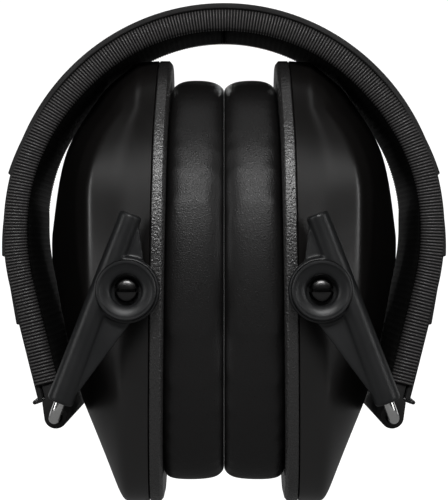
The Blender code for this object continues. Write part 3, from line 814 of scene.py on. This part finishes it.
seal = build_seal()
give(seal, LEATHERETTE, "leatherette", "left_cup", "left_ear_cushion")
other_seal = give(reflected(seal, "right_seal", -1, 1), LEATHERETTE, "leatherette", "right_cup",
                  "right_ear_cushion")
print("seals:", len(seal.data.polygons), "faces each, thickness",
      round(seal.dimensions.x / MM, 1), "mm")

# %% [markdown]
# ## Behind the seals
#
# The snap plates, foam blocks and ear screens are already right as solids. They only need their
# finishes: the moulded plate, the open foam, and the thin cloth over the opening.

# %% Finishes of the hidden cup parts, shown as the frame has them
def dress(node, material):
    part = frame["nodes"][node]
    part.data.materials.clear()
    part.data.materials.append(material)


for side in SIDES:
    dress(f"{side}_cushion_plate", GRAINED)
    dress(f"{side}_foam_liner", FOAM)
    dress(f"{side}_ear_screen", FOAM)
    for end in ENDS:
        dress(f"{end}_{side}_pivot_washer", BLACK_STEEL)
print("plates, liners, screens and washers dressed")

# %% [markdown]
# ## Sliders
#
# Each cup hangs from two sliders, one in front and one behind. A slider is one moulding: a tube
# that runs on the yoke wire, a round eye for the pivot, and a thin web that ties them together.
# The parts are joined as simple solids, and one remesh blends them with small fillets, as the
# radius of the mould's cutter would. Four are needed, so one is made and reflected.

# %% Sliders
LEG_UP = Vector((math.sin(math.radians(20.8)), 0, math.cos(math.radians(20.8))))
LEG_ACROSS = Vector((LEG_UP.z, 0, -LEG_UP.x))
HINGE = Vector((-41.3 * MM, 0, 24.2 * MM))
LEG_Y = 42.3 * MM


def on_leg(distance, across=0.0, y=0.0):
    """A place given along and across the yoke leg, in millimetres, and in y."""
    return HINGE + (LEG_UP * distance + LEG_ACROSS * across) * MM + Vector((0, y, 0))


def hoop(centre, side, radius, count=32):
    """A ring of points square to the path; side and the Y axis span its plane."""
    turns = [2 * math.pi * i / count for i in range(count)]
    return [tuple(centre + (side[0] * math.cos(a) + side[1] * math.sin(a)) * radius) for a in turns]


def leg_tube(name, stops, count=32):
    """A round bar on the leg's axis from (distance, radius) stops in millimetres."""
    plane = (LEG_ACROSS, Vector((0, 1, 0)))
    return skinned(name, [hoop(on_leg(d, 0, LEG_Y), plane, r * MM, count) for d, r in stops])


def web(points):
    outline = [on_leg(d, q) for d, q in points]
    return plate("web", [(p.x, p.z) for p in outline], 40.7 * MM, 43.4 * MM)


def build_slider():
    slider = leg_tube("slider", ((4.4, 2.75), (4.6, 3.1), (5.1, 3.28), (28, 3.08), (52.6, 2.84),
                                 (53.0, 2.7), (53.2, 2.4)))
    offset = Vector((PIVOT[0], 0, PIVOT[1])) - HINGE
    eye = (offset.dot(LEG_UP) / MM, offset.dot(LEG_ACROSS) / MM)
    disc = turned("eye", ((0.0001, 39.6), (7.6, 39.6), (8.0, 40.0), (8.0, 44.3), (7.75, 44.7),
                          (0.0001, 44.7)), (0, 0))
    disc.data.transform(place_at_pivot())
    for tool in (disc, web(((7.5, 0.4), (7.5, 3.1), (28.6, 9.2), eye, (28.6, 0.4))),
                 web(((eye[0], 0.4), eye, (42.6, 7.3), (52.2, 2.2), (52.2, 0.4)))):
        combine(slider, tool, "UNION")
    modify(slider, "REMESH", mode="VOXEL", voxel_size=0.3 * MM)
    modify(slider, "SMOOTH", factor=0.5, iterations=4)
    for radius, y0, y1 in ((7.45, 44.1, 48), (4.0, 42.2, 45), (2.3, 38, 43)):
        combine(slider, rod("cut", radius * MM, PIVOT, y0 * MM, y1 * MM, 64), "DIFFERENCE")
    combine(slider, leg_tube("bore", ((3, 1.75), (55, 1.75))), "DIFFERENCE")
    return shade(slider, 35)


def place_at_pivot():
    """From millimetres round the origin to metres round the pivot."""
    return Matrix.Translation((PIVOT[0], 0, PIVOT[1])) @ Matrix.Scale(MM, 4)


def four_of(piece, name, material, slot, carrier):
    """Reflect a rear left piece to all four corners; it rides that side's carrier."""
    for side, x in SIDES.items():
        for end, y in ENDS.items():
            corner = piece if (side, end) == ("left", "rear") else reflected(
                piece, f"{end}_{side}_{name}", -x, y)
            corner.name = f"{end}_{side}_{name}_skin"
            give(corner, material, slot, f"{side}_{carrier}", f"{end}_{side}_{name}")


slider = build_slider()
four_of(slider, "slider", SATIN, "satin_plastic", "slider")
print("slider:", len(slider.data.polygons), "faces, four in all")

# %% [markdown]
# ## Pivots
#
# A slotted screw holds each cup, and a dished cap ring dresses it. Both are turned shapes. The
# slot is a plain saw cut, left level here on every screw.

# %% Pivot caps and screws
def turned_at_pivot(name, profile, steps=96):
    """A profile in millimetres round the rear left pivot's axis."""
    piece = turned(name, profile, (0, 0), steps)
    piece.data.transform(place_at_pivot())
    return face_outwards(piece)


cap = turned_at_pivot("cap", ((3.75, 44.5), (7.1, 44.5), (7.3, 44.8), (7.3, 46.35), (7.18, 46.65),
                              (6.95, 46.8), (6.6, 46.78), (6.4, 46.6), (6.1, 46.35), (5.2, 46.1),
                              (4.4, 45.8), (4.0, 45.45), (3.8, 45.1)))
four_of(shade(cap, 25), "pivot_cap", SATIN, "satin_plastic", "cup")


def build_screw():
    x, z = PIVOT
    plane = (Vector((1, 0, 0)), Vector((0, 0, 1)))
    stops = ((34.0, 1.6), (34.4, 2.0), (42.3, 2.0), (42.4, 2.9), (42.6, 3.0), (43.4, 3.0),
             (43.75, 2.88), (44.05, 2.55), (44.28, 1.9), (44.4, 1.0), (44.43, 0.3))
    screw = skinned("screw", [hoop(Vector((x, y * MM, z)), plane, r * MM, 64) for y, r in stops])
    slot = plate("slot", [(x - 4 * MM, z - 0.42 * MM), (x + 4 * MM, z - 0.42 * MM),
                          (x + 4 * MM, z + 0.42 * MM), (x - 4 * MM, z + 0.42 * MM)],
                 41.9 * MM, 46 * MM)
    return shade(combine(screw, slot, "DIFFERENCE"), 30)


screw = build_screw()
four_of(screw, "pivot_screw", BLACK_STEEL, "black_steel", "cup")
print("cap", len(cap.data.polygons), "faces; screw", len(screw.data.polygons), "faces")

# %% [markdown]
# ## Yoke wires and clips
#
# One bent steel wire carries both sliders of a side: a leg in front, a leg behind, and the
# bridge between them that turns in the arm's barrel. A thinner black loop stands out of each
# arm's end. A wire is a row of hoops along its path.

# %% Bent wires
def bar(name, path, flat, radius, count=20):
    """A wire along points that lie in one plane whose normal is flat, with rounded ends."""
    path = [Vector(p) for p in path]
    rings = []
    for i, p in enumerate(path):
        ahead = (path[min(i + 1, len(path) - 1)] - path[max(i - 1, 0)]).normalized()
        rings.append(hoop(p, (flat, ahead.cross(flat)), radius, count))
    first, last = (path[1] - path[0]).normalized(), (path[-1] - path[-2]).normalized()
    rings.insert(0, hoop(path[0] - first * radius * 0.5, (flat, first.cross(flat)), radius * 0.7, count))
    rings.append(hoop(path[-1] + last * radius * 0.5, (flat, last.cross(flat)), radius * 0.7, count))
    return shade(skinned(name, rings), 50)


def yoke_path():
    """Leg, bend, bridge through the barrel, bend, leg."""
    bend = 3.3 * MM
    rear = [on_leg(d, 0, LEG_Y) for d in (48, 30, 12, 5)]
    for degrees in range(0, 91, 9):
        a = math.radians(degrees)
        rear.append(HINGE + Vector((0, LEG_Y - bend * (1 - math.cos(a)), 0))
                    + LEG_UP * bend * (1 - math.sin(a)))
    rear += [HINGE + Vector((0, y * MM, 0)) for y in (34, 20, 0)]
    front = [Vector((p.x, -p.y, p.z)) for p in reversed(rear[:-1])]
    return rear + front


def pair_of(piece, name, material, slot, carrier):
    """The left piece and its reflection; name is the CAD node without its side."""
    piece.name = f"left_{name}_skin"
    give(piece, material, slot, f"left_{carrier}", f"left_{name}")
    other = reflected(piece, f"right_{name}_skin", -1, 1)
    give(other, material, slot, f"right_{carrier}", f"right_{name}")
    return piece, other


yoke = bar("yoke", yoke_path(), LEG_ACROSS, 1.35 * MM, 24)
pair_of(yoke, "yoke_wire", BRIGHT_WIRE, "bright_wire", "yoke")
print("yoke wire:", len(yoke.data.polygons), "faces")

# %% [markdown]
# ## The path of the headband
#
# The band's outer skin is an ellipse over the crown that runs into a straight arm. Everything on
# the band is described by how far along that skin it sits, how deep under it, and how far to the
# front. One function turns such a place into a point; it is drawn for the left half, and the
# right half is a reflection.

# %% Band path
BAND = {"centre": 71.0 * MM, "half": 54.8 * MM, "rise": 57.1 * MM, "turn": math.radians(105)}
ARC = [(BAND["half"] * math.cos(math.pi / 2 + BAND["turn"] * i / 900),
        BAND["rise"] * math.sin(math.pi / 2 + BAND["turn"] * i / 900)) for i in range(901)]
ARC_RUN = np.concatenate([[0.0], np.cumsum([math.dist(p, q) for p, q in zip(ARC, ARC[1:])])])
ARC_LENGTH = float(ARC_RUN[-1])
BAND_END = ARC_LENGTH + 28.7 * MM
PAD_END = BAND_END - 3.4 * MM


def band_skin(s):
    """Point on the skin, the direction along it and outwards, and half the width, at length s."""
    a = math.pi / 2 + BAND["turn"] * float(np.interp(s, ARC_RUN, np.arange(901))) / 900
    ahead = Vector((-BAND["half"] * math.sin(a), 0, BAND["rise"] * math.cos(a))).normalized()
    point = Vector((BAND["half"] * math.cos(a), 0, BAND["centre"] + BAND["rise"] * math.sin(a)))
    share = min(s / BAND_END, 1)
    half = (18.0 + 17.5 * share * share * (3 - 2 * share)) * MM
    return point + ahead * max(s - ARC_LENGTH, 0), ahead, Vector((ahead.z, 0, -ahead.x)), half


def band_place(s, depth, y):
    point, _, out, _ = band_skin(s)
    return tuple(point - out * depth + Vector((0, y, 0)))


def evenly(start, end, step):
    count = max(2, round((end - start) / step))
    return [start + (end - start) * i / count for i in range(count + 1)]


FLEX_S = next(s for s in np.arange(0, BAND_END, 0.1 * MM) if band_skin(s)[0].x < -20 * MM)
print("skin runs", round(BAND_END / MM, 1), "mm from the crown to an arm's end; it flexes at",
      round(FLEX_S / MM, 1))

# %% [markdown]
# The band is sprung: opening the muff spreads the crown's bend over a stretch on each side. Each strip is
# made as a left half and its reflection.


def both_halves(piece, name, material, slot, *nodes):
    """The left half and its reflection, each with its transform baked; {side} in a node is filled in."""
    halves = (piece, reflected(piece, f"right_{name}", -1, 1))
    piece.name = f"left_{name}"
    for half, (side, x) in zip(halves, SIDES.items()):
        finish(half, material, slot, *(n.format(side=side) for n in nodes))
        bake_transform(half)
    return halves


# %% [markdown]
# ## The moulded cover
#
# The outside of the band is one long moulding. On each arm it carries three low scales, each
# rising slowly and ending in a step, so that fingers find a grip.

# %% Cover
def scale_lifts():
    stops = [(0.0, 0.0)]
    for level in (93, 73, 56):
        start = next(s for s in np.arange(0, BAND_END, 0.1 * MM) if band_skin(s)[0].z < level * MM)
        stops += [(start, 0.0), (start + 9.0 * MM, 0.6 * MM), (start + 9.25 * MM, 0.5 * MM),
                  (start + 9.5 * MM, 0.0)]
    return stops + [(BAND_END, 0.0)]


def tucked(s):
    """0 over the crown, where the cover stands beyond the ribbon, to 1 down the arms."""
    share = min(max((s / MM - 42) / 40, 0), 1)
    return share * share * (3 - 2 * share)


def cover_section(s, lift):
    half = band_skin(s)[3] - 1.0 * MM * tucked(s)
    edge = 0.35 * MM
    section = [(-lift, 0.0), (-lift, half * 0.4), (-lift, half * 0.8), (-lift, half - edge),
               (edge * 0.3 - lift, half - edge * 0.3), (edge - lift * 0.8, half),
               (1.2 * MM, half), (1.5 * MM, half - 0.3 * MM), (1.5 * MM, 0.0)]
    right = [band_place(s, d, y) for d, y in section]
    left = [band_place(s, d, -y) for d, y in reversed(section[1:-1])]
    return right + left


lifts = scale_lifts()
stops = sorted(set(evenly(0, BAND_END, 1.5 * MM)) | {s for s, _ in lifts[1:-1]})
cover = skinned("cover", [cover_section(s, along(lifts, s)) for s in stops])
both_halves(shade(cover, 30), "cover", COVER, "satin_plastic", "crown_cover", "{side}_arm_cover")
print("cover half:", len(cover.data.polygons), "faces")

# %% [markdown]
# ## Edge ribbon
#
# The pad's raw edges are bound with a woven ribbon. Its ribs run across it, 0.6 mm apart, and
# each one catches the light, so they are real ridges here: four rings for every rib.

# %% Ribbon
RIB_PITCH = 0.8 * MM


def ribbon_section(s, swell, sign):
    """Folded over the edge: short lap outside, round face, and under the pad again."""
    half = band_skin(s)[3]
    top = 1.65 - 1.2 * tucked(s)
    deep = 6.75 - 1.0 * tucked(s)
    face = [(top + 0.2, -2.4, 0), (top, -0.8, 0.4), (top + 0.25, -0.2, 1), (top + 0.9, 0.2, 1),
            (0.6 * top + 0.4 * deep, 0.42, 1), (0.3 * top + 0.7 * deep, 0.36, 1),
            (deep - 0.6, 0.0, 1), (deep - 0.15, -0.6, 1), (deep, -1.4, 0.8), (deep - 0.2, -2.6, 0)]
    ring = []
    for i, (depth, out, share) in enumerate(face):
        before, after = face[i - 1], face[(i + 1) % len(face)]
        down, outwards = after[0] - before[0], after[1] - before[1]
        lift = swell * share / math.hypot(down, outwards)
        ring.append(band_place(s, depth * MM - lift * outwards,
                               sign * (half + out * MM + lift * down)))
    return ring


def ribbon_half(sign):
    count = round(PAD_END / RIB_PITCH)
    rings = []
    for i in range(count * 4 + 1):
        swell = (0.0, 0.17, 0.27, 0.17)[i % 4] * MM
        rings.append(ribbon_section(PAD_END * i / (count * 4), swell, sign))
    return shade(skinned("ribbon", rings), 70)


for end, sign in ENDS.items():
    strip = ribbon_half(sign)
    both_halves(strip, f"{end}_ribbon", RIBBON, "ribbon", f"{end}_edge_binding")
print("ribbon half:", len(strip.data.polygons), "faces,", round(PAD_END / RIB_PITCH), "ribs")

# %% [markdown]
# ## Spring and pad
#
# Under the cover lies a flat steel spring. Below it is the pad, a spacer knit over foam. The pad
# is puffed as cloth between its bound edges, and its net pattern follows it through unrolled
# coordinates.

# %% Spring strip
def box_strip(s, top, base, half):
    return [band_place(s, d * MM, y) for d, y in ((top, -half), (top, half), (base, half), (base, -half))]


spring = skinned("spring", [box_strip(s, 1.8, 2.55, 9 * MM) for s in evenly(0, PAD_END, 3 * MM)])
both_halves(shade(spring, 40), "spring", SPRING_STEEL, "spring_steel", "spring_band")
print("spring half:", len(spring.data.polygons), "faces")

# %% Pad
def pad_section(s):
    """Flat under the spring and full inside; it ends just inside the ribbon's fold."""
    half = band_skin(s)[3] - 1.5 * MM
    deep = 6.5 - 0.9 * tucked(s)
    across = np.linspace(-half, half, 19)
    inner = [band_place(s, (deep + 1.0 * (1 - abs(y / half) ** 3)) * MM, y) for y in across]
    outer = [band_place(s, 2.75 * MM, y) for y in across[::-1]]
    return inner + outer


PAD_RINGS = round((PAD_END - 0.5 * MM) / PAD_STEP)
pad = skinned("pad", [pad_section(i * PAD_STEP) for i in range(PAD_RINGS + 1)])
pad_rest = points_of(pad)
tips = [pad_section(0), pad_section(PAD_RINGS * PAD_STEP)]
bound = {tuple(np.round(p, 5)) for tip in tips for p in tip}
inflate(pad, lambda p: tuple(np.round(p[:], 5)) in bound, 2.0)
capped_move(pad, pad_rest, 0.6 * MM)
modify(pad, "SUBSURF", levels=1)
for half_pad in both_halves(shade(pad, 60), "pad", NET, "mesh_fabric", "crown_pad", "{side}_arm_pad"):
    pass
print("pad half:", len(pad.data.polygons), "faces")

# %% [markdown]
# ## Arm ends
#
# Each arm ends in a block with a barrel across it, where the yoke wire turns. The block is an
# outline extruded across the arm with eased edges. The black wire loop beside it is bent from
# thinner wire.

# %% Hinge blocks and wire clips
def arm_end():
    """End of the skin, the direction down the arm, and inwards."""
    place, ahead, out, _ = band_skin(BAND_END)
    return place, ahead, -out


def build_hinge_block():
    place, down, inward = arm_end()
    barrel_down, barrel_in = (HINGE - place).dot(down), (HINGE - place).dot(inward)
    radius = 2.9 * MM
    outline = [(-6.2 * MM, 1.8 * MM), (0.3 * MM, 1.8 * MM), (0.8 * MM, 0.9 * MM)]
    for degrees in range(-90, 136, 9):
        a = math.radians(degrees)
        outline.append((barrel_down + radius * math.cos(a), barrel_in + radius * math.sin(a)))
    outline.append((-6.2 * MM, 5.2 * MM))
    half = 34.9 * MM
    points = [place + down * d + inward * r for d, r in outline]
    block = plate("hinge_block", [(p.x, p.z) for p in points], -half, half)
    modify(block, "BEVEL", width=0.35 * MM, segments=2, limit_method="ANGLE",
           angle_limit=math.radians(50))
    bore = rod("bore", 1.65 * MM, (HINGE.x, HINGE.z), -36 * MM, 36 * MM)
    return shade(combine(block, bore, "DIFFERENCE"), 35)


def clip_path():
    place, down, inward = arm_end()
    foot = place + down * 1.6 * MM - inward * 0.2 * MM
    out = (-inward + down * 0.12).normalized()
    half, reach, corner = 5.5 * MM, 4.3 * MM, 1.6 * MM
    path = [foot + Vector((0, -half, 0)), foot + out * (reach - corner) + Vector((0, -half, 0))]
    for sign in (-1, 1):
        middle = foot + out * (reach - corner) + Vector((0, sign * (half - corner), 0))
        for step in range(1, 7):
            a = math.radians(15 * step if sign > 0 else 90 - 15 * step)
            turn = math.cos(a) if sign > 0 else math.cos(a)
            side = math.sin(a)
            path.append(middle + out * corner * turn + Vector((0, sign * corner * side, 0)))
    path += [foot + out * (reach - corner) + Vector((0, half, 0)), foot + Vector((0, half, 0))]
    return path, out


block = build_hinge_block()
pair_of(block, "hinge_block", COVER, "satin_plastic", "arm")
path, clip_out = clip_path()
clip = bar("clip", path, clip_out.cross(Vector((0, 1, 0))), 0.55 * MM, 16)
pair_of(clip, "wire_clip", BLACK_STEEL, "black_steel", "arm")
print("hinge block", len(block.data.polygons), "faces; clip", len(clip.data.polygons), "faces")
